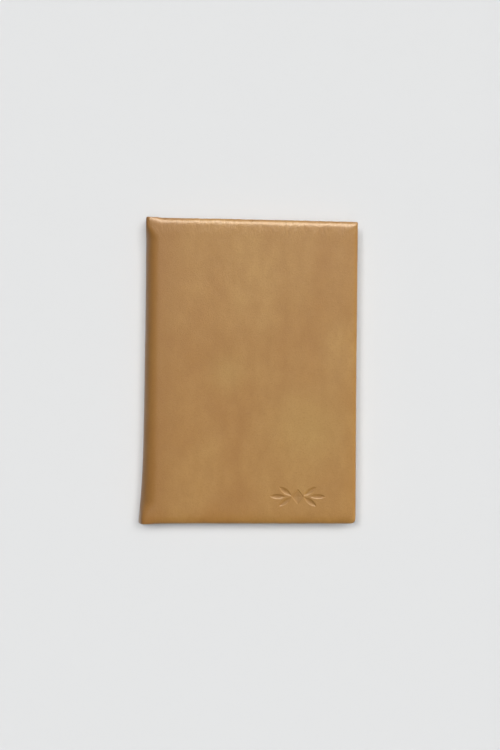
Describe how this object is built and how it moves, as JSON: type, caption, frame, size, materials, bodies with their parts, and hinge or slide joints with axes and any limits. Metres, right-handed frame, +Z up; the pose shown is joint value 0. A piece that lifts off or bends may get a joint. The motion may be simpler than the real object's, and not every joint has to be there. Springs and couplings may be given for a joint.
{
  "type": "leather notebook cover",
  "caption": "Refillable leather notebook cover with padded boards, a soft rolled spine, inner sleeves, and a sewn lay-flat refill that opens with it.",
  "frame": {"origin": "under the middle of the closed cover's bounding box, on the surface it lies on", "axes": "+X from the spine to the fore-edge, +Y towards the head of the book, +Z up out of the front cover"},
  "size_m": [0.1596, 0.222, 0.022],
  "materials": {
    "tan_leather": "smooth waxed tan cowhide, lightly clouded, soft satin",
    "suede_lining": "brushed suede split, matt",
    "felt_padding": "pressed wool felt, matt",
    "greyboard": "bookbinder's greyboard, matt",
    "kraft_card": "uncoated kraft card, matt",
    "notebook_paper": "uncoated cream paper"
  },
  "bodies": {
    "back": {"back_leather": "tan_leather", "back_padding": "felt_padding", "back_board": "greyboard", "back_lining": "suede_lining", "back_sleeve": "tan_leather", "refill_back_card": "kraft_card", "signature_5": "notebook_paper", "signature_6": "notebook_paper", "signature_7": "notebook_paper", "signature_8": "notebook_paper"},
    "front": {"front_leather": "tan_leather", "front_padding": "felt_padding", "front_board": "greyboard", "front_lining": "suede_lining", "front_sleeve": "tan_leather", "refill_front_card": "kraft_card"},
    "spine": {"spine_leather": "tan_leather", "spine_lining": "suede_lining", "refill_spine_card": "kraft_card"},
    "leaves": {"signature_1": "notebook_paper", "signature_2": "notebook_paper", "signature_3": "notebook_paper", "signature_4": "notebook_paper"}
  },
  "joints": [
    {"name": "front_fold", "type": "hinge", "parent": "spine", "child": "front", "pos_m": [-0.07263, 0, 0.01927], "axis": [0, -1, 0], "range_deg": [0, 90]},
    {"name": "spine_fold", "type": "hinge", "parent": "back", "child": "spine", "pos_m": [-0.07263, 0, 0.00273], "axis": [0, -1, 0], "range_deg": [0, 90]},
    {"name": "leaves_turn", "type": "hinge", "parent": "back", "child": "leaves", "pos_m": [-0.07223, 0, 0.011], "axis": [0, -1, 0], "range_deg": [0, 180]}
  ],
  "couplings": [
    {"joint": "spine_fold", "follows": "front_fold", "ratio": 1},
    {"joint": "leaves_turn", "follows": "front_fold", "ratio": 2}
  ]
}
